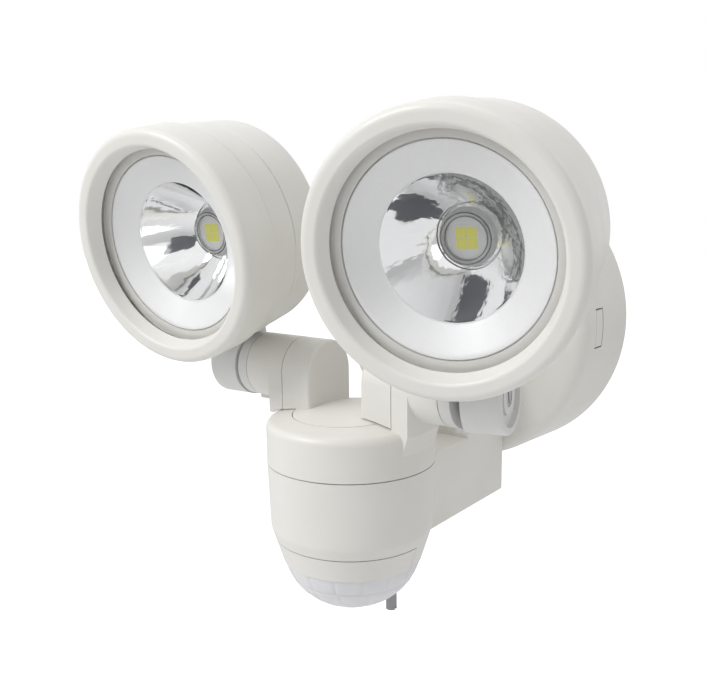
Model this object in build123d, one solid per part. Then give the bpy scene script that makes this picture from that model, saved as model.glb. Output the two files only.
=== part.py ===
from build123d import *
import math
import os

# Battery powered security light with two lamp heads and a motion sensor.
# Millimetres, +Z up. The origin is the centre of the wall plate's back face, so the
# wall is the plane Y = 0 and the light faces -Y.

# ---- fits -------------------------------------------------------------------------
running = 0.05          # radial play of a pin in its bore
seam = 0.3              # gap between pieces that move past each other
joint_line = 0.4        # width of a moulded parting line
skin = 2.4              # wall of the body mouldings
screw_radius = 1.6
screw_hole = 1.8        # clearance hole for the same screw

# ---- wall plate and battery case --------------------------------------------------
case_rear_radius = 63.8
case_draft = 1.7        # the side leans in by this over its depth
case_front_radius = case_rear_radius - case_draft
case_depth = 41.0
case_edge = 5.0         # rounding of the front edge
case_wall = 2.5
plate_clearance = 2.3
case_stand_off = 0.5    # rim to wall
plate_radius = case_rear_radius - case_wall - plate_clearance
plate_thickness = 3.0
plate_rib_height = 3.0
plate_rib_inset = 6.0
plate_rib_thickness = 2.0
slot_pitch = 66.7       # two wall screws, one above the other
slot_width = 4.6
slot_length = 10.0
strap_thickness = 2.0
strap_half_width = 7.0
strap_reach = 18.0
tongue_half_height = 8.4
tongue_rear = 24.5      # distance of the free edge from the wall
tongue_front = 31.3
tongue_gap = 0.7
hinge_gap = 0.2
cell_radius = 13.1      # C size cells, three side by side
cell_length = 49.0
cell_pitch = 27.6
cell_count = 3
cell_nub_radius = 3.25
cell_nub_height = 1.0
cell_centre_y = -22.5
cradle_floor = 2.6
cradle_end = 3.0
cradle_rim_y = -9.0
spring_room = 4.0
spring_wire = 0.4
spring_radius = 5.5
spring_pitch = 1.25
contact_thickness = 0.5
contact_half_width = 6.5

# ---- body with sensor -------------------------------------------------------------
body_y = -117.6         # the upright axis of the round body
body_radius = 32.5
body_taper = 0.8
body_foot_radius = body_radius - body_taper
collar_joint_z = -43.9  # line between the top collar and the housing
sensor_joint_z = -73.5  # line between the housing and the sensor ring
ring_step = 1.3
ring_top_radius = body_foot_radius - ring_step
ring_slope = 3.0
ring_foot_radius = ring_top_radius - ring_slope
ring_foot_z = -83.0
crown_z = -23.4         # highest point of the domed top
crown_radius = 115.0
shoulder = 3.2
collar_roof_z = -31.0
collar_spigot = 3.5
disc_radius = 20.4
disc_forward = 2.8      # the top disc's centre lies this far in front of the body axis
disc_depth = 4.0
disc_gap = 0.35
bracket_half_width = 25.5
bracket_top_z = -43.3
bracket_foot_z = -73.8
post_front_y = -71.5
post_top_z = -8.0
bracket_edge = 0.9
post_groove = 0.6       # chamfer where the post meets the case
post_back_wall_top_z = -50.0
post_screw_x = 13.8
post_screw_z = (-16.0, -44.0)
ledge_z = -50.0
ledge_width = 6.0
ledge_thickness = 2.0
board_thickness = 1.6
collar_screw_inset = 7.5
collar_screw_circle = body_radius - collar_screw_inset
dome_centre_z = -79.0
dome_radius = ring_foot_radius - 0.1
dome_drop = 24.1
dome_wall = 1.2
dome_back = 12.0        # the dome is cut flat this far behind the body axis
dome_flange = 1.6
knob_x = 6.9
knob_back = 16.6        # the adjusters stand this far behind the body axis
knob_radius = 2.25
knob_foot_z = -111.7
sensor_board_foot_z = -71.5
sensor_can_radius = 4.6
sensor_can_height = 4.2
pot_height = 4.6

# ---- arms and lamp joints ---------------------------------------------------------
arm_y = -114.7          # tilt axis, along X
arm_z = -12.2
arm_radius = 12.95
block_inner_x = 12.2
block_seam_x = 26.0
block_seam_gap = 0.3
block_trim_radius = 34.5 # the outer blocks are turned to this about the body's axis
block_round = 1.2
block_outer_x = 34.5
arm_end_x = 45.0
lamp_x = 57.0           # swivel axis, through the tilt axis
hub_ring_width = 4.6
hub_journal_radius = 9.0
hub_journal_length = 6.8
hub_tab_half_width = 2.6
hub_tab_height = 2.0
lug_radius = 4.4
lug_half_height = 4.0
bolt_radius = 2.5
bolt_head_radius = 4.8
pin_radius = 2.0
nose_radius = 6.7       # the knuckle turns past the hub on this radius
knuckle_radius = 13.4
knuckle_end = 9.0
front_relief = 7.0      # degrees that the knuckle's inner face is cut back, ahead of the axis
rear_relief = 20.0      # and behind it
neck_half_width = 8.0
neck_flare = 12.0       # the neck widens to this under the head
neck_front = 7.6
neck_back = 11.0
recess_radius = 10.8
recess_depth = 1.8
screw_head_radius = 3.4

# ---- lamp heads, measured back from the plane of the front ring -------------------
head_height = 56.7      # lamp axis above the tilt axis
head_forward = 35.0     # front ring ahead of the swivel axis
bezel_radius = 44.5
bezel_lip = 2.6         # the rolled rim stands this far ahead of the ring plane
rim_width = 6.3
window_radius = bezel_radius - rim_width
window_foot_radius = window_radius - 1.6  # at the lens
lens_front = 3.4
lens_thickness = 1.9
lens_radius = window_foot_radius + 3.7
bezel_length = 14.2
mid_length = 12.0
mid_radius = bezel_radius - 1.1
rear_radius = mid_radius - 0.7
rear_end_radius = rear_radius - 1.3
head_depth = 47.8
head_edge = 6.0
head_wall = 2.2
seal_inner_radius = window_foot_radius + 0.8
seal_thickness = 1.0
inner_ring_radius = window_foot_radius - 2.7  # the pale ring seen through the lens, its inner edge
inner_ring_front = 5.7
inner_ring_back = 7.3
reflector_lip = 6.0
reflector_lip_radius = inner_ring_radius - 0.4
reflector_land = 0.6
reflector_seat_radius = seal_inner_radius - 0.1
reflector_wall = 1.1
bowl_rim_radius = 23.0
bowl_rim_depth = 11.2
bowl_foot_radius = 8.8
bowl_foot_depth = 27.4
led_ring_radius = 7.2
led_board_radius = 11.8
die_side = 8.7
led_lens_radius = bowl_foot_radius - 0.3
led_lens_height = 7.8
heat_sink_radius = 26.0
heat_sink_plate = 2.5
fin_height = 7.5
fin_thickness = 1.6
fin_count = 7
fin_pitch = 5.6
head_screw_circle = 32.0
head_screw_angles = (90, 210, 330)

# ---- pose of the heads, and how far they move from straight ahead and level -------
tilt_down = {"left": 10.4, "right": 9.8}
swivel_out = {"left": -2.0, "right": 11.5}

os.makedirs("parts", exist_ok=True)
nodes = {}


def outline(*corners):
    """Closed face through corners (x, y); a third value rounds that corner."""
    points = [Vector(corner[0], corner[1]) for corner in corners]
    radii = [corner[2] if len(corner) == 3 else 0 for corner in corners]
    entries, exits, edges = [], [], []
    for index, point in enumerate(points):
        back = (points[index - 1] - point).normalized()
        ahead = (points[(index + 1) % len(points)] - point).normalized()
        if not radii[index]:
            entries.append(point)
            exits.append(point)
            continue
        half = math.radians(back.get_angle(ahead) / 2)
        reach = radii[index] / math.tan(half)
        middle = point + (back + ahead).normalized() * radii[index] * (1 / math.sin(half) - 1)
        entries.append(point + back * reach)
        exits.append(point + ahead * reach)
        edges.append(ThreePointArc(entries[-1], middle, exits[-1]))
    for index, start in enumerate(exits):
        end = entries[(index + 1) % len(points)]
        if (end - start).length > 1e-6:
            edges.append(Line(start, end))
    return make_face(edges)


def turned_z(*corners):
    """Solid of revolution about Z from (radius, z) corners."""
    return revolve(Plane.XZ * outline(*corners), Axis.Z)


def turned_y(*corners):
    """Solid of revolution about Y from (radius, y) corners."""
    return revolve(outline(*corners), Axis.Y)


def rod_x(radius, start, end, y=0, z=0):
    return Pos((start + end) / 2, y, z) * Rot(0, 90, 0) * Cylinder(radius, end - start)


def rod_y(radius, start, end, x=0, z=0):
    return Pos(x, (start + end) / 2, z) * Rot(90, 0, 0) * Cylinder(radius, end - start)


def rod_z(radius, start, end, x=0, y=0):
    return Pos(x, y, (start + end) / 2) * Cylinder(radius, end - start)


def block(x0, x1, y0, y1, z0, z1):
    return Pos((x0 + x1) / 2, (y0 + y1) / 2, (z0 + z1) / 2) * Box(x1 - x0, y1 - y0, z1 - z0)


def mirrored(shape, side):
    """The right hand piece, or its mirror image for the left."""
    return shape if side == "right" else mirror(shape, Plane.YZ)


def add(name, *shapes):
    nodes[name] = shapes[0] if len(shapes) == 1 else Compound(children=list(shapes))


# ---- wall plate -------------------------------------------------------------------
strap_outer_x = case_rear_radius - case_wall - tongue_gap - strap_thickness - 1.0


def wall_plate():
    plate = rod_y(plate_radius, -plate_thickness, 0)
    rib_top = -plate_thickness - plate_rib_height
    rib_outer = plate_radius - plate_rib_inset
    rib = rod_y(rib_outer, rib_top, -plate_thickness) - rod_y(rib_outer - plate_rib_thickness, rib_top, 0)
    plate += rib
    for sign in (-1, 1):
        x0, x1 = sorted((sign * strap_outer_x, sign * (strap_outer_x - strap_thickness)))
        plate += block(x0, x1, -strap_reach, 0, -strap_half_width, strap_half_width)
        slot_z = sign * slot_pitch / 2
        half_slot = (slot_length - slot_width) / 2
        for shift in (-half_slot, half_slot):
            plate -= rod_y(slot_width / 2, -plate_thickness - 1, 1, z=slot_z + shift)
        plate -= block(-slot_width / 2, slot_width / 2, -plate_thickness - 1, 1,
                       slot_z - half_slot, slot_z + half_slot)
    return plate


def case_seal():
    outer = case_rear_radius - case_wall - 0.2
    return (rod_y(outer, -plate_thickness, -case_stand_off)
            - rod_y(plate_radius, -plate_thickness - 1, 0))


# ---- battery case -----------------------------------------------------------------
def case_shell():
    return turned_y((0, -case_depth), (case_front_radius, -case_depth, case_edge),
                    (case_rear_radius, -case_stand_off),
                    (case_rear_radius - case_wall, -case_stand_off),
                    (case_front_radius - case_wall, case_wall - case_depth, case_edge - case_wall),
                    (0, case_wall - case_depth))


def tongue_window(sign, inset):
    x0, x1 = sorted((sign * (case_front_radius - 2 * case_wall), sign * (case_rear_radius + 1)))
    half = tongue_half_height - inset
    return block(x0, x1, -tongue_front + min(inset, hinge_gap), -tongue_rear - inset, -half, half)


def post_screw_places():
    return [(sign * post_screw_x, z) for sign in (-1, 1) for z in post_screw_z]


def battery_case():
    case = case_shell()
    for sign in (-1, 1):
        case -= tongue_window(sign, 0)
    for x, z in post_screw_places():
        case -= rod_y(screw_hole, -case_depth - 1, case_wall - case_depth + 1, x, z)
    return case - rod_y(4, -case_depth - 1, case_wall - case_depth + 1, 0, post_screw_z[0])


def release_tongue(sign):
    return case_shell() & tongue_window(sign, tongue_gap)


case_floor_y = case_wall - case_depth
cell_low_z = -cell_length / 2
cell_high_z = cell_length / 2 + cell_nub_height
cradle_low_z = cell_low_z - spring_room
cradle_high_z = cell_high_z + contact_thickness


def cell_places():
    return [(index - (cell_count - 1) / 2) * cell_pitch for index in range(cell_count)]


def battery_cradle():
    half_width = (cell_count * cell_pitch) / 2 + 2.5
    cradle = block(-half_width, half_width, case_floor_y, cradle_rim_y,
                   cradle_low_z - cradle_end, cradle_high_z + cradle_end)
    trough = cell_radius + seam
    for x in cell_places():
        cradle -= rod_z(trough, cradle_low_z, cradle_high_z, x, cell_centre_y)
        cradle -= block(x - trough, x + trough, cell_centre_y, cradle_rim_y + 1,
                        cradle_low_z, cradle_high_z)
    for x, z in post_screw_places():
        cradle -= rod_y(screw_head_radius + 0.4, case_floor_y - 1, case_floor_y + 2.6, x, z)
    return cradle


def battery_cell(x):
    can = rod_z(cell_radius, cell_low_z, cell_length / 2, x, cell_centre_y)
    return can + rod_z(cell_nub_radius, cell_length / 2, cell_high_z, x, cell_centre_y)


def contact_plate(x, z):
    return block(x - contact_half_width, x + contact_half_width,
                 cell_centre_y - contact_half_width, cell_centre_y + contact_half_width,
                 z, z + contact_thickness)


def cell_spring(x):
    foot = cradle_low_z + contact_thickness + spring_wire
    height = cell_low_z - foot - 2 * spring_wire
    path = Helix(pitch=spring_pitch, height=height, radius=spring_radius)
    wire = sweep(Plane(path @ 0, z_dir=path % 0) * Circle(spring_wire), path)
    return Pos(x, cell_centre_y, foot) * wire


def pan_screw_y(x, z, head_y, tip_y):
    """Screw along Y whose head lies behind head_y, the tip ahead of it at tip_y."""
    head = rod_y(screw_head_radius, head_y, head_y + 2.2, x, z)
    slot = block(x - 2.4, x + 2.4, head_y + 1.2, head_y + 3, z - 0.5, z + 0.5)
    return head - slot + rod_y(screw_radius, tip_y, head_y, x, z)


# ---- main housing: the round middle, the bracket and the post ---------------------
def in_body(shape):
    return Pos(0, body_y, 0) * shape


def rear_half(shape, behind=0.0):
    reach = 4 * body_radius
    return shape & block(-reach, reach, behind, reach, -reach * 2, reach)


def ring_radius_at(z):
    share = (sensor_joint_z - z) / (sensor_joint_z - ring_foot_z)
    return ring_top_radius + share * (ring_foot_radius - ring_top_radius)


def skirt(inset, top_z, foot_z):
    return turned_z((0, top_z), (ring_radius_at(top_z) - inset, top_z),
                    (ring_radius_at(foot_z) - inset, foot_z), (0, foot_z))


post_back_y = -case_depth


def bracket():
    collar_room = in_body(rod_z(body_radius + seam, collar_joint_z - joint_line / 2, 0))
    arm = block(-bracket_half_width, bracket_half_width, body_y, post_front_y + 1,
                bracket_foot_z, bracket_top_z)
    post = block(-bracket_half_width, bracket_half_width, post_front_y, post_back_y,
                 bracket_foot_z, post_top_z)
    form = arm + post
    sides = [edge for edge in form.edges() if abs(edge.center().X) > bracket_half_width - 0.1
             and edge.center().Y < post_back_y - 0.1]
    form = fillet(sides + form.edges().filter_by(Axis.X).group_by(Axis.Z)[-1][:1], bracket_edge)
    form = chamfer(form.faces().sort_by(Axis.Y)[-1].edges(), post_groove)
    return form - collar_room


def bracket_hollow():
    half = bracket_half_width - skin
    low, high = bracket_foot_z + skin, bracket_top_z - skin
    arm = block(-half, half, body_y + bracket_half_width, post_front_y + skin + 1, low, high)
    post = block(-half, half, post_front_y + skin, post_back_y - skin, low, post_top_z - skin)
    doorway = block(-half, half, post_back_y - skin - 1, post_back_y + 1,
                    post_back_wall_top_z, post_top_z - skin)
    return arm + post + doorway


def collar_screw_places():
    return [(collar_screw_circle * math.cos(math.radians(angle)),
             collar_screw_circle * math.sin(math.radians(angle))) for angle in (30, 150, 270)]


def main_housing():
    top_z = collar_joint_z - joint_line / 2
    outer = turned_z((0, top_z), (body_radius, top_z), (body_foot_radius, sensor_joint_z + 4, 6),
                     (ring_top_radius, sensor_joint_z), (0, sensor_joint_z))
    outer += rear_half(skirt(0, sensor_joint_z, ring_foot_z))
    housing = in_body(outer) + bracket()
    hollow = turned_z((0, top_z + 1), (body_radius - skin, top_z + 1),
                      (body_foot_radius - skin, sensor_joint_z + 4),
                      (ring_top_radius - skin, sensor_joint_z),
                      (ring_foot_radius - skin, ring_foot_z - 0.1), (0, ring_foot_z - 0.1))
    housing -= in_body(hollow)
    housing -= bracket_hollow()
    floor = rear_half(skirt(0.2, ring_foot_z + 2.2, ring_foot_z), dome_back + seam)
    ledge = (rod_z(body_radius - skin, ledge_z - ledge_thickness, ledge_z)
             - rod_z(body_radius - skin - ledge_width, ledge_z - 3, ledge_z + 1))
    for x, y in collar_screw_places():
        ledge += rod_z(4, ledge_z - ledge_thickness, ledge_z, x, y)
    for x, y in collar_screw_places():
        ledge -= rod_z(1.8, ledge_z - 3, ledge_z + 1, x, y)
    for sign in (-1, 1):
        floor -= rod_z(knob_radius + seam, ring_foot_z - 1, ring_foot_z + 4, sign * knob_x, knob_back)
    housing += in_body(ledge)
    housing += in_body(floor)
    for x, z in post_screw_places():
        housing += (rod_y(3.6, post_front_y + 1, post_back_y, x, z)
                    - rod_y(screw_radius, post_back_y - 12, post_back_y + 1, x, z))
    return housing


# ---- top: collar, disc and the D-shaped blocks that carry the arms ----------------
def crown(offset=0.0):
    """The collar's outer form, grown by offset."""
    foot = collar_joint_z + joint_line / 2
    radius = body_radius + offset
    ball = crown_radius + offset
    centre = crown_z - crown_radius
    edge = (radius, centre + math.sqrt(ball ** 2 - radius ** 2))
    middle = (radius / 2, centre + math.sqrt(ball ** 2 - radius ** 2 / 4))
    top = (0, centre + ball)
    form = make_face([Polyline(top, (0, foot), (radius, foot), edge), ThreePointArc(edge, middle, top)])
    corner = form.vertices().sort_by_distance(edge)[0]
    return revolve(Plane.XZ * fillet(corner, shoulder), Axis.Z)


def disc_column(radius, low):
    return rod_z(radius, low, crown_z + 2, 0, -disc_forward)


def arm_block(x0, x1, foot_z):
    """Block with a half round top, from x0 to x1 on the right."""
    upright = block(x0, x1, arm_y - arm_radius, arm_y + arm_radius, foot_z, arm_z)
    return upright + rod_x(arm_radius, x0, x1, arm_y, arm_z)


def inner_block():
    """The block on the inner side of the seam, with a rounded edge towards the middle."""
    form = arm_block(block_inner_x, block_seam_x - block_seam_gap / 2, block_foot_z)
    face = form.faces().sort_by(Axis.X)[0]
    return fillet(face.edges().sort_by(Axis.Z)[1:], block_round)


block_foot_z = -28.4
gusset_foot_z = -36.0


def outer_block_and_arm():
    arm = arm_block(block_seam_x + block_seam_gap / 2, block_outer_x, block_foot_z)
    arm &= in_body(rod_z(block_trim_radius, 2 * block_foot_z, -block_foot_z))
    arm += rod_x(arm_radius, block_seam_x + block_seam_gap / 2, arm_end_x, arm_y, arm_z)
    wall_x = arm_end_x - hub_journal_length - seam
    arm -= rod_x(hub_journal_radius, wall_x, arm_end_x + 1, arm_y, arm_z)
    arm -= rod_x(hub_journal_radius - 2, block_seam_x - 1, wall_x - skin, arm_y, arm_z)
    return arm - rod_x(bolt_radius, wall_x - skin - 1, wall_x + 1, arm_y, arm_z)


def gusset():
    """The outer block's overhang runs down into the collar's side as a piece of a cone."""
    inner = body_radius - 1
    cone = turned_z((inner, block_foot_z), (block_trim_radius, block_foot_z),
                    (body_radius, gusset_foot_z), (inner, gusset_foot_z))
    return in_body(cone) & block(block_seam_x, block_outer_x, arm_y - arm_radius, arm_y + arm_radius,
                                 gusset_foot_z, block_foot_z)


def top_collar():
    body = crown()
    body -= rod_z(body_radius - skin, collar_joint_z - 1, collar_roof_z)
    body += (rod_z(body_radius - skin - 0.2, collar_joint_z - collar_spigot, collar_roof_z)
             - rod_z(body_radius - skin - 2, collar_joint_z - 10, collar_roof_z))
    body -= disc_column(disc_radius + disc_gap, crown_z - disc_depth - 1)
    boss_foot = ledge_z + board_thickness
    for x, y in collar_screw_places():
        boss = rod_z(3.4, boss_foot, collar_roof_z, x, y)
        body += boss - rod_z(1.3, boss_foot - 1, collar_roof_z - 4, x, y)
    body -= rod_z(7, collar_roof_z - 1, crown_z, 0, -disc_forward)
    return in_body(body) + outer_block_and_arm() + gusset()


def left_arm():
    return mirror(outer_block_and_arm(), Plane.YZ) - in_body(crown(0.5))


def hub_disc():
    disc = crown() & disc_column(disc_radius, crown_z - disc_depth - 1)
    inner = mirror(inner_block(), Plane.YZ)
    inner -= in_body(crown(0.25) - disc_column(disc_radius, crown_z - disc_depth - 1))
    return in_body(disc) + inner


def right_block_cap():
    return inner_block() - in_body(crown(0.6))


# ---- sensor -----------------------------------------------------------------------
def sensor_ring():
    outer = skirt(0, sensor_joint_z - joint_line, ring_foot_z)
    ring = outer - skirt(skin, sensor_joint_z, ring_foot_z - 1)
    lip = (rod_z(ring_top_radius - skin, sensor_joint_z - joint_line - 2, sensor_board_foot_z)
           - rod_z(ring_top_radius - 2 * skin, ring_foot_z, 0))
    ring += lip
    reach = 2 * body_radius
    return ring & block(-reach, reach, -reach, -0.2, ring_foot_z - 1, 0)


def dome_form(inset):
    form = Pos(0, 0, dome_centre_z) * scale(
        Sphere(1), (dome_radius - inset, dome_radius - inset, dome_drop - inset))
    reach = 2 * dome_radius
    return form & block(-reach, reach, -reach, dome_back - inset,
                        dome_centre_z - reach, dome_centre_z - 1.5)


def pir_dome():
    shell = dome_form(0) - dome_form(dome_wall)
    # The dome's edge stays inside the ring and the housing.
    limit = turned_z((0, dome_centre_z + 1), (ring_radius_at(dome_centre_z) - skin, dome_centre_z + 1),
                     (ring_foot_radius - skin, ring_foot_z), (ring_foot_radius + 1, ring_foot_z - 0.01),
                     (ring_foot_radius + 1, dome_centre_z - 2 * dome_drop),
                     (0, dome_centre_z - 2 * dome_drop))
    spigot = (rod_z(ring_foot_radius - skin - 0.1, ring_foot_z - 1.4, dome_centre_z - 1.5)
              - rod_z(ring_foot_radius - skin - dome_wall, ring_foot_z - 2, dome_centre_z))
    reach = 2 * dome_radius
    return (shell & limit) + (spigot & block(-reach, reach, -reach, dome_back, ring_foot_z - 2, 0))


def knob():
    """Adjuster that is turned from below; its slotted foot stands below the housing."""
    top_z = sensor_board_foot_z - pot_height - seam
    stem = rod_z(knob_radius, knob_foot_z, top_z)
    stem += rod_z(knob_radius + 1.2, ring_foot_z + 2.2 + seam, ring_foot_z + 4)
    return stem - block(-5, 5, -0.5, 0.5, knob_foot_z - 1, knob_foot_z + 1.4)


def control_parts():
    top = ledge_z + board_thickness
    return [rod_z(5, top, top + 11, -8, 6), rod_z(4, top, top + 8, 6, -10),
            block(4, 16, 4, 12, top, top + 3), block(-16, -8, -12, -5, top, top + 4)]


# ---- lamp joint, right hand, origin where the tilt and swivel axes cross ----------
def tilt_hub():
    outer_x = arm_end_x + seam + hub_ring_width - lamp_x
    inner_x = outer_x - hub_ring_width
    hub = rod_x(arm_radius - 0.05, inner_x, outer_x)
    hub += block(inner_x, outer_x, -hub_tab_half_width, hub_tab_half_width,
                 -arm_radius - hub_tab_height, -arm_radius + 2)
    hub += rod_x(hub_journal_radius - running, inner_x - hub_journal_length, inner_x)
    hub += block(outer_x - 1, 0, -3.2, 3.2, -lug_half_height, lug_half_height)
    hub += rod_z(lug_radius, -lug_half_height, lug_half_height)
    hub -= rod_x(bolt_radius + running, inner_x - hub_journal_length - 1, outer_x - 1.2)
    return hub - rod_z(pin_radius, -lug_half_height - 1, lug_half_height + 1)


def tilt_bolt():
    wall_x = arm_end_x - hub_journal_length - seam - lamp_x
    seat = wall_x - skin - 0.6
    tip = arm_end_x + seam + hub_ring_width - lamp_x - 1.6
    bolt = rod_x(bolt_radius, seat, tip) + rod_x(bolt_head_radius, seat - 3.2, seat)
    return bolt - block(seat - 4, seat - 2, -3.4, 3.4, -0.6, 0.6)


def spring_washer():
    seat = arm_end_x - hub_journal_length - seam - lamp_x - skin
    return rod_x(bolt_head_radius + 0.6, seat - 0.6, seat) - rod_x(bolt_radius, seat - 1, seat + 1)


def swivel_pin():
    return rod_z(pin_radius, -knuckle_radius + 3, knuckle_radius - 4)


def knuckle_plan():
    """Upright prism: a round nose on the hub's side, cut back so that it can swivel."""
    reach = knuckle_radius + 1
    ends = []
    for relief, side_sign in ((front_relief, -1), (rear_relief, 1)):
        tilt = math.radians(relief)
        touch = Vector(-nose_radius * math.cos(tilt), side_sign * nose_radius * math.sin(tilt))
        edge_x = touch.X + (reach - abs(touch.Y)) * math.tan(tilt)
        ends.append((touch, Vector(edge_x, side_sign * reach)))
    (front, front_edge), (rear, rear_edge) = ends
    edges = [ThreePointArc(rear, (-nose_radius, 0), front),
             Polyline(front, front_edge, (neck_flare, -reach), (neck_flare, reach), rear_edge, rear)]
    return Pos(0, 0, -reach) * extrude(make_face(edges), amount=3 * reach)


def knuckle():
    drum = rod_x(knuckle_radius, -nose_radius - 1, knuckle_end)
    drum = fillet(drum.edges().filter_by(GeomType.CIRCLE).sort_by(Axis.X)[-1], 1.2)
    side = Plane.XZ * outline((-nose_radius - 1, 0), (neck_half_width, 0), (neck_half_width, 5),
                              (neck_flare, 16), (neck_flare, 20), (-nose_radius - 1, 20))
    neck = Pos(0, neck_back, 0) * extrude(side, amount=neck_front + neck_back)
    drum = (drum + neck) & knuckle_plan()
    drum -= rod_y(rear_radius + running, -head_depth, head_depth, 0, head_height)
    drum -= rod_x(recess_radius, knuckle_end - recess_depth, knuckle_end + 1)
    drum += rod_x(6.4, knuckle_end - recess_depth - 1, knuckle_end - recess_depth + 1)
    drum -= rod_x(screw_head_radius + 0.2, knuckle_end - recess_depth - 1.2, knuckle_end + 1)
    room = lug_half_height + 0.4
    drum -= rod_z(lug_radius + 0.4, -room, room)
    drum -= block(-nose_radius - 1, 0, -nose_radius, nose_radius, -room, room)
    for x, y in neck_screw_places():
        drum -= rod_z(1.2, 5.6, knuckle_radius + 6, x, y)
    return drum - rod_z(pin_radius + running, -knuckle_radius + 2.8, knuckle_radius + 6)


def neck_screw_places():
    return [(-2.6, -3.9), (5.0, -3.9)]


def knuckle_screw():
    seat = knuckle_end - recess_depth - 1.2
    screw = rod_x(screw_head_radius, seat, seat + 2)
    return screw - block(seat + 0.8, seat + 3, -0.5, 0.5, -2.6, 2.6)


# ---- lamp head: Y is the lamp axis, measured back from the front ring -------------
mid_start = bezel_length + joint_line
rear_start = mid_start + mid_length + joint_line


def front_bezel():
    return turned_y((window_foot_radius, lens_front), (window_radius, -bezel_lip, 1.5),
                    (bezel_radius, -bezel_lip, 2.8), (bezel_radius, bezel_length, 0.8),
                    (lens_radius + 0.3, bezel_length), (lens_radius + 0.3, lens_front))


def lens_cover():
    return rod_y(lens_radius, lens_front, lens_front + lens_thickness)


def lens_seal():
    start = lens_front + lens_thickness
    return (rod_y(lens_radius, start, start + seal_thickness)
            - rod_y(seal_inner_radius, start - 1, start + 9))


def bowl(radius_out, depth_out, foot_depth):
    """Edge of the reflector's bowl, from rim to foot; the outer skin is offset."""
    rim = Vector(bowl_rim_radius + radius_out, bowl_rim_depth + depth_out)
    foot = Vector(bowl_foot_radius + radius_out, foot_depth)
    middle = (rim + foot) / 2 + Vector(foot.Y - rim.Y, rim.X - foot.X).normalized() * 2.1
    return ThreePointArc(foot, middle, rim), rim, foot


def reflector():
    inner, rim, foot = bowl(0, 0, bowl_foot_depth + 1.1)
    outer, outer_rim, outer_foot = bowl(1.3, reflector_wall, bowl_foot_depth + 1.1)
    radius, seat = reflector_lip_radius, reflector_seat_radius
    back = inner_ring_back + reflector_wall
    edges = [inner, outer, Line(foot, outer_foot),
             Polyline(rim, (radius - reflector_land, reflector_lip), (radius, reflector_lip),
                      (radius, inner_ring_back), (seat, inner_ring_back), (seat, back),
                      (radius, back), outer_rim)]
    return revolve(make_face(edges), Axis.Y)


led_board_front = bowl_foot_depth + 1.1


def led_board():
    board = rod_y(led_board_radius, led_board_front, led_board_front + board_thickness)
    ring = rod_y(bowl_foot_radius - 0.2, bowl_foot_depth, led_board_front)
    return board + ring - rod_y(led_ring_radius, bowl_foot_depth - 1, led_board_front)


def led_emitter():
    package = rod_y(led_ring_radius - 0.2, bowl_foot_depth + 0.2, led_board_front)
    half = die_side / 2
    return package + block(-half, half, bowl_foot_depth + 0.1, led_board_front - 0.1, -half, half)


def led_lens():
    """Clear lens that stands on the LED's ring, inside the bowl's foot."""
    front = bowl_foot_depth - led_lens_height
    return turned_y((0, bowl_foot_depth), (led_lens_radius, bowl_foot_depth),
                    (led_lens_radius - 0.3, front + 0.3, 1.0), (0, front))


def heat_sink():
    start = led_board_front + board_thickness
    plate = rod_y(heat_sink_radius, start, start + heat_sink_plate)
    fins = [block(x - fin_thickness / 2, x + fin_thickness / 2, start, start + heat_sink_plate + fin_height,
                  -heat_sink_radius, heat_sink_radius)
            for x in [(index - (fin_count - 1) / 2) * fin_pitch for index in range(fin_count)]]
    envelope = rod_y(heat_sink_radius, start, start + heat_sink_plate + fin_height)
    for fin in fins:
        plate += fin & envelope
    return plate


def head_screw_places():
    return [(head_screw_circle * math.cos(math.radians(angle)),
             head_screw_circle * math.sin(math.radians(angle))) for angle in head_screw_angles]


def mid_housing():
    start, end = mid_start, mid_start + mid_length
    seat = lens_front + lens_thickness + seal_thickness
    tube = reflector_seat_radius + 0.3
    shell = turned_y((inner_ring_radius, inner_ring_front), (seal_inner_radius - 0.1, inner_ring_front),
                     (seal_inner_radius - 0.1, seat), (lens_radius, seat), (lens_radius, start),
                     (mid_radius, start, 0.6), (mid_radius - 0.4, end, 0.6),
                     (mid_radius - head_wall, end), (mid_radius - head_wall, start + 2),
                     (tube, start + 2), (tube, inner_ring_back), (inner_ring_radius, inner_ring_back))
    for x, z in head_screw_places():
        shell += rod_y(3.4, start, end, x, z) - rod_y(screw_radius, start + 3, end + 1, x, z)
    radial = mid_radius - head_wall + 0.5
    for angle in head_screw_angles:
        rib = block(head_screw_circle + 2.5, radial, start, start + 6, -1, 1)
        shell += Rot(0, -angle, 0) * rib
    return shell


def rear_housing():
    end = head_depth
    shell = turned_y((0, end), (rear_end_radius, end, head_edge), (rear_radius, rear_start, 0.6),
                     (rear_radius - head_wall, rear_start),
                     (rear_end_radius - head_wall, end - head_wall, head_edge - head_wall),
                     (0, end - head_wall))
    spigot = (rod_y(mid_radius - head_wall - 0.2, rear_start - 3, rear_start + 1.4)
              - rod_y(mid_radius - head_wall - 1.8, rear_start - 4, rear_start + 2))
    shell += spigot
    for x, z in head_screw_places():
        shell += rod_y(4.8, rear_start, end, x, z)
        shell -= rod_y(screw_hole, rear_start - 1, end + 1, x, z)
        shell -= rod_y(screw_head_radius + 0.3, end - 2.8, end + 1, x, z)
    for x, y in neck_screw_places():
        shell -= rod_z(1.4, -rear_radius - 2, -rear_radius + 6, x, head_forward + y)
    return shell


def head_screws():
    screws = []
    for x, z in head_screw_places():
        screws.append(pan_screw_y(x, z, head_depth - 2.8, mid_start + 4))
    inner = -(rear_radius - head_wall)
    for x, y in neck_screw_places():
        along = head_forward + y
        floor_z = inner + 1.3
        screws.append(rod_z(2.4, floor_z, floor_z + 2, x, along)
                      + rod_z(1.1, inner - 9, floor_z, x, along))
    return screws


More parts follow.
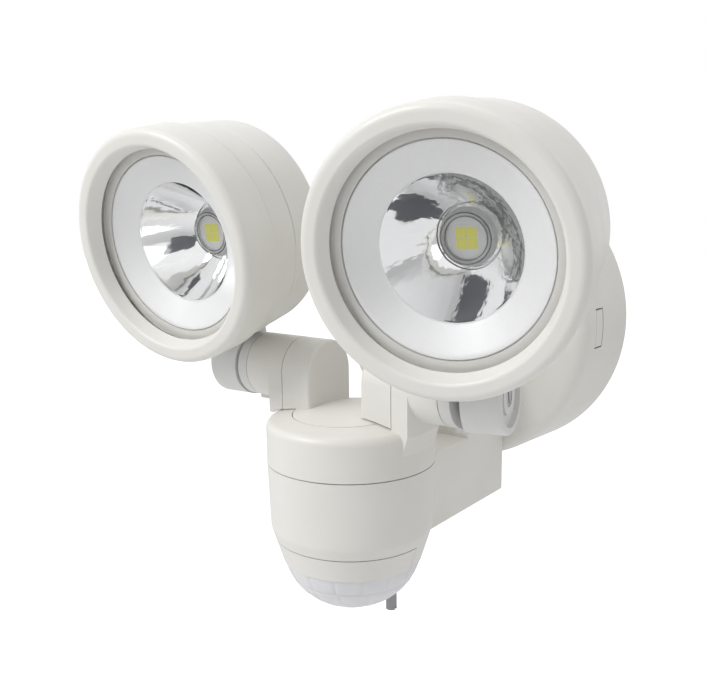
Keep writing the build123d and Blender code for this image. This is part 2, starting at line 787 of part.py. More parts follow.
# ---- everything in its place ------------------------------------------------------
add("wall_plate", wall_plate())
add("case_seal", case_seal())
add("battery_case", battery_case())
add("left_release_tongue", release_tongue(-1))
add("right_release_tongue", release_tongue(1))
add("battery_cradle", battery_cradle())
add("battery_cells", *[battery_cell(x) for x in cell_places()])
add("cell_springs", *[cell_spring(x) for x in cell_places()])
add("cell_contacts", *[contact_plate(x, z) for x in cell_places()
                       for z in (cradle_low_z, cradle_high_z - contact_thickness)])
add("post_screws", *[pan_screw_y(x, z, case_floor_y, post_back_y - 10) for x, z in post_screw_places()])

add("main_housing", main_housing())
add("top_collar", top_collar())
add("left_arm", left_arm())
add("hub_disc", hub_disc())
add("right_block_cap", right_block_cap())
add("collar_screws", *[in_body(rod_z(3, ledge_z - ledge_thickness - 1.8, ledge_z - ledge_thickness, x, y)
                               + rod_z(1.3, ledge_z - ledge_thickness, collar_roof_z - 5, x, y))
                       for x, y in collar_screw_places()])

control_board = rod_z(body_radius - skin - 0.6, ledge_z, ledge_z + board_thickness)
for x, y in collar_screw_places():
    control_board -= rod_z(1.8, ledge_z - 1, ledge_z + 3, x, y)
add("control_board", in_body(control_board))
add("control_parts", *[in_body(piece) for piece in control_parts()])

add("sensor_ring", in_body(sensor_ring()))
add("pir_dome", in_body(pir_dome()))
sensor_board = rod_z(ring_top_radius - skin - 0.3, sensor_board_foot_z, sensor_board_foot_z + board_thickness)
add("sensor_board", in_body(sensor_board))
can_top = sensor_board_foot_z
add("pir_sensor", in_body(rod_z(sensor_can_radius, can_top - sensor_can_height, can_top, 0, -6)))
add("light_cell", in_body(rod_z(2.5, can_top - 2.2, can_top, 12, -10)))
add("adjuster_pots", *[in_body(block(x - 3.5, x + 3.5, knob_back - 3.5, knob_back + 3.5, can_top - pot_height, can_top))
                       for x in (-knob_x, knob_x)])
add("time_knob", in_body(Pos(knob_x, knob_back, 0) * knob()))
add("light_knob", in_body(Pos(-knob_x, knob_back, 0) * knob()))

for side in ("left", "right"):
    sign = 1 if side == "right" else -1
    axes = Pos(sign * lamp_x, arm_y, arm_z)
    tilted = axes * Rot(tilt_down[side], 0, 0)
    turned = tilted * Rot(0, 0, sign * swivel_out[side])
    head = turned * Pos(0, -head_forward, head_height)
    add(side + "_tilt_bolt", axes * mirrored(tilt_bolt(), side))
    add(side + "_spring_washer", axes * mirrored(spring_washer(), side))
    add(side + "_tilt_hub", tilted * mirrored(tilt_hub(), side))
    add(side + "_swivel_pin", tilted * swivel_pin())
    add(side + "_knuckle", turned * mirrored(knuckle(), side))
    add(side + "_knuckle_screw", turned * mirrored(knuckle_screw(), side))
    add(side + "_front_bezel", head * front_bezel())
    add(side + "_lens_cover", head * lens_cover())
    add(side + "_lens_seal", head * lens_seal())
    add(side + "_reflector", head * reflector())
    add(side + "_led_board", head * led_board())
    add(side + "_led_emitter", head * led_emitter())
    add(side + "_led_lens", head * led_lens())
    add(side + "_heat_sink", head * heat_sink())
    add(side + "_mid_housing", head * mid_housing())
    add(side + "_rear_housing", head * mirrored(rear_housing(), side))
    add(side + "_head_screws", *[head * mirrored(screw, side) for screw in head_screws()])

for name, shape in nodes.items():
    export_step(shape, "parts/" + name + ".step")
print(len(nodes), "nodes")
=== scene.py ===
import math

import bmesh
import bpy
from mathutils import Matrix, Quaternion, Vector


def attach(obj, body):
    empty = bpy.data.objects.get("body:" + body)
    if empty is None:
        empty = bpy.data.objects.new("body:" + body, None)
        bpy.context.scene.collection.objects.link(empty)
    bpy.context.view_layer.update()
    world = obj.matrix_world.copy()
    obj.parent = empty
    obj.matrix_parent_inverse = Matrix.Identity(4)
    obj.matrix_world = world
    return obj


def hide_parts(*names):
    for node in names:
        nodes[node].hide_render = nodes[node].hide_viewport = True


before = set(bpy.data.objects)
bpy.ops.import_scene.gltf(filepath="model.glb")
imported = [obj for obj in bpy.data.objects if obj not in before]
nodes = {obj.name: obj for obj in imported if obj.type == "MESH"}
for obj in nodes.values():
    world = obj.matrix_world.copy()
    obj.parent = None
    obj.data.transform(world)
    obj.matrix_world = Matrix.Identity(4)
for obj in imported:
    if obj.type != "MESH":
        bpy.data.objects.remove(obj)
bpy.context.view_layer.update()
mm = 0.001

# ---- The table top studio --------------------------------------------------------
# A pale floor well below the light, white all round, one large soft lamp high on the
# left, a weaker one on the right and one overhead. The camera looks slightly down.
scene = bpy.context.scene
scene.view_settings.view_transform = "Standard"

looks_at = Vector((1.03, -116.8, -1.1)) * mm
towards_camera = Vector((0.6005, -0.7795, 0.1783)).normalized()
facing_the_light = towards_camera.to_track_quat("Z", "Y")
camera_distance = 326 * mm
camera_roll = math.radians(-0.83)
camera = bpy.data.objects.new("camera", bpy.data.cameras.new("camera"))
camera.data.sensor_width = 36
camera.data.lens = 43.8
camera.data.clip_start = 0.01
camera.location = looks_at + towards_camera * camera_distance
camera.rotation_mode = "QUATERNION"
camera.rotation_quaternion = facing_the_light @ Quaternion((0, 0, 1), camera_roll)
scene.collection.objects.link(camera)
scene.camera = camera


def soft_lamp(name, place, size, watts):
    """A round area lamp that stands at a place about the light and shines on it."""
    lamp = bpy.data.objects.new(name, bpy.data.lights.new(name, "AREA"))
    lamp.data.shape = "DISK"
    lamp.data.size = size
    lamp.data.energy = watts
    lamp.location = looks_at + Vector(place)
    lamp.rotation_mode = "QUATERNION"
    lamp.rotation_quaternion = Vector(place).to_track_quat("Z", "Y")
    scene.collection.objects.link(lamp)


soft_lamp("key_lamp", (-0.5, -0.9, 0.8), 0.55, 8.8)
soft_lamp("side_lamp", (1.1, -0.35, 0.35), 0.8, 0.8)
soft_lamp("top_lamp", (0.0, 0.1, 1.2), 0.9, 2.4)

# The room is full white where it is seen, mirrored or looked at through something clear,
# and dimmer as a source of light.
room_light = 0.56
world = bpy.data.worlds.new("white_room")
world.use_nodes = True
world.cycles.sampling_method = "NONE"
scene.world = world
background = world.node_tree.nodes["Background"]
background.inputs["Color"].default_value = (1, 1, 1, 1)
rays = world.node_tree.nodes.new("ShaderNodeLightPath")
seen = world.node_tree.nodes.new("ShaderNodeMath")
seen.operation = "MAXIMUM"
seen_through = world.node_tree.nodes.new("ShaderNodeMath")
seen_through.operation = "MAXIMUM"
strength = world.node_tree.nodes.new("ShaderNodeMapRange")
strength.inputs["To Min"].default_value = room_light
strength.inputs["To Max"].default_value = 1.0
world.node_tree.links.new(rays.outputs["Is Camera Ray"], seen.inputs[0])
world.node_tree.links.new(rays.outputs["Is Glossy Ray"], seen.inputs[1])
world.node_tree.links.new(seen.outputs[0], seen_through.inputs[0])
world.node_tree.links.new(rays.outputs["Is Transmission Ray"], seen_through.inputs[1])
world.node_tree.links.new(seen_through.outputs[0], strength.inputs["Value"])
world.node_tree.links.new(strength.outputs["Result"], background.inputs["Strength"])


def studio_sheet(name, finish, low_corner, high_corner):
    """A flat rectangle of the studio and the shader of its own plain material."""
    (left, near), (right, far) = low_corner, high_corner
    mesh = bpy.data.meshes.new(name)
    mesh.from_pydata([(left, near, 0), (right, near, 0), (right, far, 0), (left, far, 0)], [], [(0, 1, 2, 3)])
    sheet = bpy.data.objects.new(name, mesh)
    scene.collection.objects.link(sheet)
    material = bpy.data.materials.new(finish)
    material.use_nodes = True
    mesh.materials.append(material)
    return sheet, material.node_tree.nodes["Principled BSDF"]


# The paper glows a little to the camera alone, so that it looks white and still takes
# the light's shadow.
floor_reach, floor_level, floor_glow = 6, -0.45, 0.64
floor, paper_shader = studio_sheet("studio_floor", "floor_paper",
                                   (-floor_reach, -floor_reach), (floor_reach, floor_reach))
floor.location.z = floor_level
paper_shader.inputs["Base Color"].default_value = (0.94, 0.94, 0.94, 1)
paper_shader.inputs["Roughness"].default_value = 0.9
paper_shader.inputs["Emission Color"].default_value = (1, 1, 1, 1)
paper_tree = paper_shader.id_data
paper_rays = paper_tree.nodes.new("ShaderNodeLightPath")
paper_glow = paper_tree.nodes.new("ShaderNodeMath")
paper_glow.operation = "MULTIPLY"
paper_glow.inputs[1].default_value = floor_glow
paper_tree.links.new(paper_rays.outputs["Is Camera Ray"], paper_glow.inputs[0])
paper_tree.links.new(paper_glow.outputs[0], paper_shader.inputs["Emission Strength"])

# A dark cloth stands behind the camera, outside every picture, for the bowls to mirror.
cloth_distance = 1.3
backdrop, cloth_shader = studio_sheet("dark_backdrop", "backdrop_cloth", (-0.3, -0.42), (0.44, 0.22))
backdrop.location = looks_at + towards_camera * cloth_distance
backdrop.rotation_mode = "QUATERNION"
backdrop.rotation_quaternion = facing_the_light
backdrop.visible_camera = False
cloth_shader.inputs["Base Color"].default_value = (0.05, 0.054, 0.066, 1)

# ---- Wall plate and its seal -----------------------------------------------------
# The disc that is screwed to the wall, moulded in the same off-white ABS as the rest,
# with two slots and two latch straps. A foam rubber ring seals the case against it.


class Signal:
    """One socket of a material's nodes. Arithmetic on it adds Math nodes."""

    def __init__(self, tree, socket):
        self.tree = tree
        self.socket = socket

    def node(self, kind, settings, sockets, output=0):
        """Adds any other node: its settings first, then values or links for its sockets."""
        made = self.tree.nodes.new("ShaderNode" + kind)
        for setting, value in settings.items():
            setattr(made, setting, value)
        for name, value in sockets.items():
            if isinstance(value, Signal):
                self.tree.links.new(value.socket, made.inputs[name])
            else:
                made.inputs[name].default_value = value
        return Signal(self.tree, made.outputs[output])

    def maths(self, operation, first, second):
        return self.node("Math", {"operation": operation}, {0: first, 1: second})

    def __add__(self, other):
        return self.maths("ADD", self, other)

    def __radd__(self, other):
        return self.maths("ADD", other, self)

    def __sub__(self, other):
        return self.maths("SUBTRACT", self, other)

    def __rsub__(self, other):
        return self.maths("SUBTRACT", other, self)

    def __mul__(self, other):
        return self.maths("MULTIPLY", self, other)

    def __rmul__(self, other):
        return self.maths("MULTIPLY", other, self)

    def __truediv__(self, other):
        return self.maths("DIVIDE", self, other)

    def __gt__(self, other):
        return self.maths("GREATER_THAN", self, other)

    def __lt__(self, other):
        return self.maths("LESS_THAN", self, other)

    def blend(self, low, high):
        """Colour that goes from low to high as this value goes from 0 to 1."""
        return self.node("Mix", {"data_type": "RGBA"}, {0: self, 6: low, 7: high}, 2)

    def noise(self, scale, detail=3.0):
        return self.node("TexNoise", {}, {"Vector": self, "Scale": scale, "Detail": detail})

    def stretched(self, low, high):
        """0 where this value is low or less, 1 where it is high or more."""
        return self.node("MapRange", {}, {"Value": self, "From Min": low, "From Max": high})

    def split(self):
        """The X, Y and Z of a vector."""
        return [self.node("SeparateXYZ", {}, {0: self}, axis) for axis in range(3)]


def new_finish(name, **values):
    """A material with plain values on its shader, and the coordinates of its piece."""
    material = bpy.data.materials.new(name)
    material.use_nodes = True
    shader = material.node_tree.nodes["Principled BSDF"]
    for socket, value in values.items():
        shader.inputs[socket.replace("_", " ")].default_value = value
    coordinates = material.node_tree.nodes.new("ShaderNodeTexCoord")
    return material, shader, Signal(material.node_tree, coordinates.outputs["Object"])


def feed(shader, socket, signal):
    signal.tree.links.new(signal.socket, shader.inputs[socket])


def grain(shader, height, depth):
    """Raises the surface by height times depth."""
    bump = height.node("Bump", {}, {"Height": height, "Distance": depth})
    feed(shader, "Normal", bump)


def moulded_plastic(name, light, dark, roughness):
    """Satin moulded plastic: cloudy tone, fine spark-eroded grain and a few shiny rubs."""
    material, shader, place = new_finish(name, IOR=1.5)
    cloud = place.noise(38.0, 4.0)
    fine = place.noise(2600.0, 2.0)
    rubs = place.noise(120.0, 5.0).stretched(0.52, 0.66)
    specks = place.noise(700.0, 1.0).stretched(0.74, 0.78)
    tone = cloud.stretched(0.3, 0.7)
    feed(shader, "Base Color", (tone - specks * 0.35).blend(dark, light))
    feed(shader, "Roughness", roughness + fine * 0.08 - rubs * 0.07)
    grain(shader, fine + place.noise(900.0, 2.0) * 0.6, 0.01 * mm)
    return material


def paint(material, *names):
    for name in names:
        node = nodes[name]
        if not node.material_slots:
            node.data.materials.append(material)
        for material_slot in node.material_slots:
            material_slot.material = material


shell_plastic = moulded_plastic("off_white_abs", (0.80, 0.79, 0.752, 1), (0.765, 0.752, 0.708, 1), 0.40)
paint(shell_plastic, "wall_plate")

seal_rubber, shader, place = new_finish("foam_rubber", Roughness=0.85)
cells = place.node("TexVoronoi", {}, {"Vector": place, "Scale": 900.0})
feed(shader, "Base Color", cells.blend((0.02, 0.02, 0.02, 1), (0.07, 0.07, 0.07, 1)))
grain(shader, cells, 0.2 * mm)
paint(seal_rubber, "case_seal")

# ---- Battery case and its release tongues ----------------------------------------
# A deep round cap in off-white ABS, drawn a little towards the front so that it leaves
# its mould. Two tongues cut from the side are pressed to lift it off the wall plate.
case_plastic = moulded_plastic("case_abs", (0.79, 0.78, 0.74, 1), (0.755, 0.742, 0.698, 1), 0.42)
paint(case_plastic, "battery_case", "left_release_tongue", "right_release_tongue")

# ---- Battery cradle, cells and contacts ------------------------------------------
# Black cradle with three troughs, one for each cell. The cells wear a plain sleeve, and
# nickel plated springs and plates press on their ends.
cradle_plastic = moulded_plastic("cradle_abs", (0.028, 0.028, 0.03, 1), (0.018, 0.018, 0.02, 1), 0.5)
paint(cradle_plastic, "battery_cradle")

cell_sleeve, shader, place = new_finish("cell_sleeve", Coat_Weight=0.4, Coat_Roughness=0.15)
height = place.split()[2]
band_height, cap_height = 12.5 * mm, 24.1 * mm
copper_band = height > band_height
end_cap = (height > cap_height) + (height < -cap_height)
sleeve = copper_band.blend((0.015, 0.016, 0.02, 1), (0.42, 0.2, 0.07, 1))
tin = (0.62, 0.61, 0.58, 1)
feed(shader, "Base Color", end_cap.blend(sleeve, tin))
feed(shader, "Metallic", copper_band * 0.8 + end_cap * 0.2)
feed(shader, "Roughness", place.noise(400.0) * 0.15 + 0.22)
paint(cell_sleeve, "battery_cells")


def plated_metal(name, colour, roughness):
    """Bright plated metal with fine drawn lines and a few duller patches."""
    material, shader, place = new_finish(name, Metallic=1.0)
    drawn_out = place.node("VectorMath", {"operation": "MULTIPLY"}, {0: place, 1: (1.0, 0.12, 0.12)})
    lines = drawn_out.noise(1800.0, 2.0)
    dull = place.noise(160.0, 4.0)
    feed(shader, "Base Color", dull.blend(tuple(0.82 * c for c in colour) + (1,), colour + (1,)))
    feed(shader, "Roughness", roughness + lines * 0.12 + dull * 0.1)
    grain(shader, lines, 0.006 * mm)
    return material


nickel = plated_metal("nickel_plate", (0.74, 0.72, 0.67), 0.16)
paint(nickel, "cell_springs", "cell_contacts")

# ---- Main housing with bracket and post ------------------------------------------
# One moulding: the round middle of the sensor body, the bracket behind it and the post
# that four screws from inside the battery case pull against the case.
body_plastic = moulded_plastic("body_abs", (0.805, 0.795, 0.758, 1), (0.77, 0.757, 0.714, 1), 0.38)
paint(body_plastic, "main_housing")
zinc = plated_metal("zinc_plate", (0.6, 0.61, 0.62), 0.24)
paint(zinc, "post_screws", "collar_screws")

# ---- Collar, arms, disc and block cap --------------------------------------------
# The collar closes the body from above. The arms leave from two round-topped blocks,
# each parted down its middle, where the mouldings meet round the tilt bolts.
paint(body_plastic, "top_collar", "left_arm", "hub_disc", "right_block_cap")

# ---- Circuit boards --------------------------------------------------------------
# Control board on the ledge in the body, with capacitors, relay and driver, and the
# sensor board over the dome.
board_mask, shader, place = new_finish("board_mask", Coat_Weight=0.5, Coat_Roughness=0.12, Roughness=0.4)
tracks = place.node("TexBrick", {}, {
    "Vector": place, "Scale": 320.0, "Mortar Size": 0.03,
    "Color1": (1, 1, 1, 1), "Color2": (0.8, 0.8, 0.8, 1), "Mortar": (0, 0, 0, 1)})
feed(shader, "Base Color", tracks.blend((0.06, 0.22, 0.08, 1), (0.015, 0.1, 0.035, 1)))
grain(shader, tracks, 0.03 * mm)
paint(board_mask, "control_board", "sensor_board")
paint(cradle_plastic, "control_parts", "adjuster_pots")

# ---- Sensor ring and dome --------------------------------------------------------
# The ring is the front half of the skirt and holds the dome, a milky polyethylene shell
# whose face is a mosaic of small square lenses that throw heat onto the sensor.
paint(body_plastic, "sensor_ring")

dome_middle = Vector((0, -117.6, -79.0))
dome_radius = 27.3
dome_drop = 24.1
dome_back = 12.0
lens_rows = (0.0, 13.0, 31.0, 47.0, 63.0, 90.0)
lens_columns = (1, 6, 10, 14, 16)
groove_depth = 0.32
groove_width = 0.55
ripple_depth = 0.05
ripple_pitch = 1.1
dome_edge_angle = 86.5
dome_round_steps, dome_down_steps = 300, 110
dome_wall = 1.1
rim_taper, rim_inset = 0.97, 0.15


def dome_point(across, down):
    """Point of the outer skin; down is the angle from the foot, across the one round."""
    row = max(index for index, angle in enumerate(lens_rows[:-1]) if down >= angle)
    size = 360 / lens_columns[row]
    along = (across + row * size / 2) % size
    to_row = min(down - lens_rows[row], lens_rows[row + 1] - down) * math.radians(dome_radius)
    to_side = min(along, size - along) * math.radians(dome_radius) * math.sin(math.radians(down))
    edge = to_row if row == 0 else min(to_row, to_side)
    groove = groove_depth * math.exp(-(edge / groove_width) ** 2)
    ripple = ripple_depth * math.cos(2 * math.pi * edge / ripple_pitch)
    inward = groove + ripple
    turn, tip = math.radians(across), math.radians(down)
    reach = (dome_radius - inward) * math.sin(tip)
    return Vector((reach * math.cos(turn), reach * math.sin(turn), -(dome_drop - inward) * math.cos(tip)))


def new_piece(name, mesh, material, body, angle=35, placed=Matrix()):
    """Adds a mesh as a piece that rides with a body; its edges are sharp above an angle."""
    data = bpy.data.meshes.new(name)
    mesh.to_mesh(data)
    mesh.free()
    piece = bpy.data.objects.new(name, data)
    scene.collection.objects.link(piece)
    data.materials.append(material)
    data.shade_smooth()
    data.set_sharp_from_angle(angle=math.radians(angle))
    piece.matrix_world = placed
    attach(piece, body)
    return piece


mesh = bmesh.new()
round_angles = [360 * step / dome_round_steps for step in range(dome_round_steps)]
rows = []
for down_step in range(1, dome_down_steps + 1):
    down = dome_edge_angle * down_step / dome_down_steps
    rows.append([mesh.verts.new(dome_point(angle, down)) for angle in round_angles])
foot = mesh.verts.new(dome_point(0, 0))
for step in range(dome_round_steps):
    following = (step + 1) % dome_round_steps
    mesh.faces.new((foot, rows[0][following], rows[0][step]))
    for upper, lower in zip(rows[1:], rows):
        mesh.faces.new((lower[step], lower[following], upper[following], upper[step]))
# The rear is cut off flat. The cut's edge is turned in a little, and what is inside it
# stays open.
bmesh.ops.bisect_plane(mesh, geom=mesh.verts[:] + mesh.edges[:] + mesh.faces[:],
                       plane_co=(0, dome_back, 0), plane_no=(0, 1, 0), clear_outer=True)
cut_edge = [edge for edge in mesh.edges
            if edge.is_boundary and all(abs(vert.co.y - dome_back) < 1e-4 for vert in edge.verts)]
turned_in = bmesh.ops.extrude_edge_only(mesh, edges=cut_edge)
for vert in [part for part in turned_in["geom"] if isinstance(part, bmesh.types.BMVert)]:
    vert.co.x *= rim_taper
    vert.co.y = dome_back - rim_inset
    vert.co.z *= rim_taper
bmesh.ops.recalc_face_normals(mesh, faces=mesh.faces[:])
bmesh.ops.transform(mesh, matrix=Matrix.Scale(mm, 4) @ Matrix.Translation(dome_middle), verts=mesh.verts[:])

milky, shader, place = new_finish("milky_polyethylene", Roughness=0.34, IOR=1.52, Subsurface_Weight=0.35,
                                  Subsurface_Scale=0.004, Subsurface_Radius=(1.0, 1.0, 1.0))
cloud = place.noise(60.0, 3.0)
feed(shader, "Base Color", cloud.blend((0.77, 0.77, 0.80, 1), (0.85, 0.85, 0.89, 1)))
grain(shader, place.noise(1500.0, 2.0), 0.01 * mm)
dome = new_piece("sensor_dome", mesh, milky, "fixture", angle=60)
skin = dome.modifiers.new("wall", "SOLIDIFY")
skin.thickness = dome_wall * mm
skin.offset = -1
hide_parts("pir_dome")

paint(nickel, "pir_sensor")
cell_glass, shader, place = new_finish("cell_window", Roughness=0.1, Coat_Weight=0.6)
stripe = place.node("TexWave", {}, {"Vector": place, "Scale": 300.0})
feed(shader, "Base Color", stripe.blend((0.35, 0.06, 0.03, 1), (0.75, 0.6, 0.3, 1)))
paint(cell_glass, "light_cell")

# ---- Adjusters under the body ----------------------------------------------------
# Two grey nylon pegs, slotted for a screwdriver. They set how long the lamps stay lit
# and how dark it has to be.
grey_nylon = moulded_plastic("grey_nylon", (0.36, 0.36, 0.37, 1), (0.30, 0.30, 0.31, 1), 0.42)
paint(grey_nylon, "time_knob", "light_knob")

# ---- Lamp joints -----------------------------------------------------------------
# A hub tilts on the arm's end and a knuckle swivels on the hub's pin. Both are moulded
# in a stiffer, slightly cooler nylon that slides well on the ABS.
joint_plastic = moulded_plastic("joint_nylon", (0.745, 0.745, 0.735, 1), (0.70, 0.70, 0.688, 1), 0.36)
for side in ("left", "right"):
    paint(joint_plastic, side + "_tilt_hub", side + "_knuckle")
    paint(zinc, side + "_tilt_bolt", side + "_swivel_pin", side + "_knuckle_screw")
    paint(nickel, side + "_spring_washer")

# ---- Lamp housings ---------------------------------------------------------------
# Three round mouldings behind one another: the front bezel with its rolled rim, a
# middle ring and a rear cap, pulled together by three deep-set screws. A ring of pale
# silicone seals the lens, and a cast alloy heat sink stands inside.
lamp_plastic = moulded_plastic("lamp_abs", (0.80, 0.792, 0.757, 1), (0.768, 0.757, 0.716, 1), 0.36)
pale_silicone, shader, place = new_finish("pale_silicone", Roughness=0.5)
feed(shader, "Base Color", place.noise(200.0).blend((0.68, 0.66, 0.61, 1), (0.76, 0.74, 0.69, 1)))
cast_alloy, shader, place = new_finish("cast_alloy", Metallic=1.0)
crust = place.noise(1200.0, 4.0)
feed(shader, "Base Color", crust.blend((0.5, 0.5, 0.5, 1), (0.75, 0.75, 0.76, 1)))
feed(shader, "Roughness", crust * 0.2 + 0.35)
grain(shader, crust, 0.04 * mm)
for side in ("left", "right"):
    paint(lamp_plastic, side + "_front_bezel", side + "_mid_housing", side + "_rear_housing")
    paint(zinc, side + "_head_screws")
    paint(cast_alloy, side + "_heat_sink")
    paint(pale_silicone, side + "_lens_seal")

# ---- Reflectors ------------------------------------------------------------------
# Injection moulded, then silvered in a vacuum: a narrow lip, a satin cone with a fine
# ring at its foot, and a deep polished bowl that ends round the LED.
swivel_x, arm_y, arm_z = 57.0, -114.7, -12.2
head_height, head_forward = 56.7, 35.0
tilt_down = {"left": 10.4, "right": 9.8}
swivel_out = {"left": -2.0, "right": 11.5}


def lamp_frame(side):
    """From millimetres about the lamp's axis, Y running back, to the whole light."""
    sign = 1 if side == "right" else -1
    return (Matrix.Scale(mm, 4) @ Matrix.Translation((sign * swivel_x, arm_y, arm_z))
            @ Matrix.Rotation(math.radians(tilt_down[side]), 4, "X")
            @ Matrix.Rotation(math.radians(sign * swivel_out[side]), 4, "Z")
            @ Matrix.Translation((0, -head_forward, head_height)))


def turned(profile, steps, closed=True):
    """Skin of revolution about Y through (radius, y) points, closed from the last to the first."""
    mesh = bmesh.new()
    turns = [2 * math.pi * step / steps for step in range(steps)]
    rings = []
    for radius, back in profile:
        if radius == 0:
            rings.append([mesh.verts.new((0, back, 0))] * steps)
            continue
        points = [(radius * math.cos(turn), back, radius * math.sin(turn)) for turn in turns]
        rings.append([mesh.verts.new(point) for point in points])
    pairs = list(zip(rings, rings[1:]))
    if closed:
        pairs.append((rings[-1], rings[0]))
    for inner, outer in pairs:
        for step in range(steps):
            following = (step + 1) % steps
            corners = []
            for vert in (inner[step], inner[following], outer[following], outer[step]):
                if vert not in corners:
                    corners.append(vert)
            if len(corners) > 2:
                mesh.faces.new(corners)
    bmesh.ops.recalc_face_normals(mesh, faces=mesh.faces[:])
    return mesh


seat_radius, seat_depth = 37.25, 7.35
lip_radius, lip_depth = 33.45, 6.05
lip_width, lip_chamfer = 0.5, 0.15
bowl_rim_radius, bowl_rim_depth = 23.0, 11.2
bowl_foot_radius, bowl_foot_depth = 8.85, 28.4
cone_steps, bowl_steps = 8, 44
cone_foot_radius, cone_foot_depth = bowl_rim_radius + 0.5, bowl_rim_depth - 0.35
wall_radially, wall_axially, seat_wall = 0.6, 0.75, 1.0

# The silvering's coordinates are in millimetres about the lamp's axis. Only the bowl is
# polished: soft ripples bend what it mirrors, and faint fans run out over the cone.
silvered, shader, place = new_finish("vacuum_silvering", Metallic=1.0)
across, back, up = place.split()
radius = place.node("Math", {"operation": "SQRT"}, {0: across * across + up * up})
polished = radius < bowl_rim_radius
swirl = place.node("CombineXYZ", {}, {0: across / radius * 1.3, 1: up / radius * 1.3, 2: radius * 0.07})
ripples = swirl.noise(1.0, 1.0) + swirl.noise(5.0, 1.5) * 0.22
fans = place.node("CombineXYZ", {}, {0: across / radius * 4, 1: up / radius * 4, 2: 0.0}).noise(2.0, 2.0)
orange_peel = place.noise(0.3, 2.0)
fine = place.noise(2.4, 3.0)
satin, mirror = 0.34, 0.035
feed(shader, "Base Color", fine.blend((0.83, 0.835, 0.845, 1), (0.93, 0.93, 0.93, 1)))
feed(shader, "Metallic", 0.15 + polished * 0.85)
feed(shader, "Roughness", satin - polished * (satin - mirror) + fine * 0.04)
grain(shader, ripples * 16 * polished + fans * 5 * (1 - polished) + orange_peel * 0.5 + fine * 0.1, 0.02 * mm)

front_skin = [(lip_radius, lip_depth + lip_chamfer), (lip_radius - lip_chamfer, lip_depth),
              (lip_radius - lip_width, lip_depth)]
cone_top_radius = lip_radius - lip_width
inner_skin = []
for step in range(1, cone_steps + 1):
    share = step / cone_steps
    inner_skin.append((cone_top_radius + share * (cone_foot_radius - cone_top_radius),
                       lip_depth + share * (cone_foot_depth - lip_depth)))
# A fine raised ring edges the bowl, a paraboloid whose focus lies just before the LED.
inner_skin += [(bowl_rim_radius + 0.2, bowl_rim_depth - 0.4), (bowl_rim_radius, bowl_rim_depth - 0.1)]
focus = (bowl_rim_radius ** 2 - bowl_foot_radius ** 2) / 4 / (bowl_foot_depth - bowl_rim_depth)
vertex = bowl_rim_depth + bowl_rim_radius ** 2 / 4 / focus
for step in range(1, bowl_steps + 1):
    depth = bowl_rim_depth + (bowl_foot_depth - bowl_rim_depth) * step / bowl_steps
    inner_skin.append((2 * math.sqrt(focus * (vertex - depth)), depth))
back_skin = [(radius + wall_radially, depth + wall_axially) for radius, depth in reversed(inner_skin)]
seat_skin = [(lip_radius, seat_depth + seat_wall), (seat_radius, seat_depth + seat_wall),
             (seat_radius, seat_depth), (lip_radius, seat_depth)]
for side in ("left", "right"):
    mesh = turned(front_skin + inner_skin + back_skin + seat_skin, 256)
    piece = new_piece(side + "_reflector_skin", mesh, silvered, side + "_lamp",
                      angle=28, placed=lamp_frame(side))
    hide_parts(side + "_reflector")

# ---- LED -------------------------------------------------------------------------
# A white ceramic package in the foot of the bowl, with four dies side by side under
# yellow phosphor. A low dome of clear silicone on the board's ring covers them.
package_white, shader, place = new_finish("led_package", Roughness=0.35, Coat_Weight=0.3)
feed(shader, "Base Color", place.noise(300.0).blend((0.62, 0.63, 0.62, 1), (0.78, 0.79, 0.78, 1)))
grain(shader, place.noise(1500.0), 0.01 * mm)

# The phosphor is given a faint glow although the LED is off. This is painted light that brightens the dies
# inside the lens.
phosphor_painted_glow, shader, place = new_finish("phosphor_painted_glow", Roughness=0.3, Coat_Weight=0.5, Coat_Roughness=0.05,
                                     Emission_Color=(0.6, 0.58, 0.05, 1), Emission_Strength=0.22)
grains = place.noise(6.0, 3.0)
feed(shader, "Base Color", grains.blend((0.46, 0.45, 0.004, 1), (0.58, 0.57, 0.012, 1)))
grain(shader, grains, 0.04 * mm)

clear_silicone, shader, place = new_finish("clear_silicone", Metallic=1.0, Roughness=0.05)
edge = place.node("LayerWeight", {}, {"Blend": 0.5}, 1)
haze = place.noise(160.0, 3.0)
feed(shader, "Base Color", haze.blend((0.93, 0.95, 0.95, 1), (1, 1, 1, 1)))
feed(shader, "Alpha", edge.maths("POWER", edge, 3.0) * 0.7 + 0.02 + haze * 0.02)

# Near-black paint for the rings at the clear dome's foot and shoulder. This is painted reflection, not a dark
# part of the LED.
painted_dark_ring, shader, place = new_finish("painted_dark_ring", Roughness=0.2, Coat_Weight=0.4)
feed(shader, "Base Color", place.noise(3.0).blend((0.03, 0.032, 0.036, 1), (0.08, 0.084, 0.09, 1)))
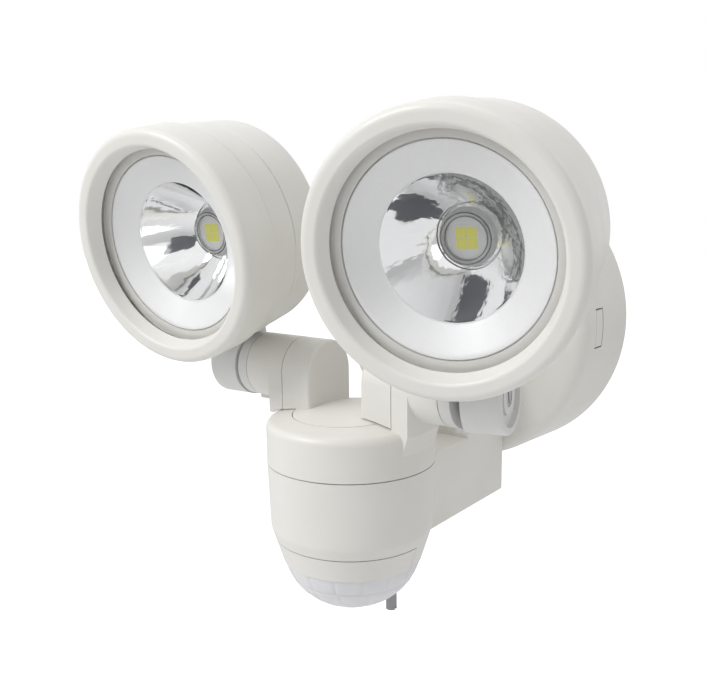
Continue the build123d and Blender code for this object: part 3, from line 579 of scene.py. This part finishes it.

# The dome's outline runs from the middle of its foot to the middle of its front. Two thin near-black rings
# behind its foot and its shoulder are painted reflection: they stand in for the dark that the silicone's
# curved edges bend and mirror.
lens_foot_depth, lens_front_depth, lens_radius = 27.3, 25.1, 8.5
lens_outline = [(0, lens_foot_depth), (lens_radius, lens_foot_depth), (lens_radius, 26.5), (8.2, 26.0),
                (7.6, 25.7), (6.6, 25.45), (5.0, 25.2), (0, lens_front_depth)]
painted_dark_rings = {"foot": (8.1, 8.6, 26.4), "shoulder": (6.95, 7.3, 26.6)}
ring_thickness = 0.1

die_side, die_gap, die_thickness, die_bevel = 3.45, 0.12, 0.1, 0.03
die_depth = 27.47
die_place = (die_side + die_gap) / 2
for side in ("left", "right"):
    body = side + "_lamp"
    paint(package_white, side + "_led_board", side + "_led_emitter")

    lens = turned(lens_outline, 96, closed=False)
    piece = new_piece(side + "_led_clear_lens", lens, clear_silicone, body,
                      placed=lamp_frame(side))
    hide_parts(side + "_led_lens")

    for name, (inner, outer, depth) in painted_dark_rings.items():
        behind = depth + ring_thickness
        ring = turned([(inner, depth), (outer, depth), (outer, behind), (inner, behind)], 96)
        new_piece(side + "_led_lens_" + name, ring, painted_dark_ring, body, placed=lamp_frame(side))

    dies = bmesh.new()
    for column in (-1, 1):
        for row in (-1, 1):
            die = bmesh.ops.create_cube(dies, size=1)["verts"]
            bmesh.ops.scale(dies, vec=(die_side, die_thickness, die_side), verts=die)
            bmesh.ops.translate(dies, vec=(column * die_place, die_depth, row * die_place), verts=die)
    bmesh.ops.bevel(dies, geom=dies.edges[:], offset=die_bevel, segments=2, affect="EDGES")
    new_piece(side + "_led_dies", dies, phosphor_painted_glow, body, placed=lamp_frame(side))

# ---- Front lenses ----------------------------------------------------------------
# A flat clear disc of polycarbonate clamped behind the bezel's rim against a seal.
clear_plastic, shader, place = new_finish("clear_polycarbonate", Metallic=1.0, Roughness=0.03, IOR=1.58)
facing = place.node("LayerWeight", {}, {"Blend": 0.5}, 1)
glare = facing.maths("POWER", facing, 5.0) * 0.94 + 0.03
haze = place.noise(120.0, 4.0).stretched(0.45, 0.75)
feed(shader, "Base Color", haze.blend((1, 1, 1, 1), (0.94, 0.96, 0.98, 1)))
feed(shader, "Alpha", glare + haze * 0.01)
for side in ("left", "right"):
    paint(clear_plastic, side + "_lens_cover")
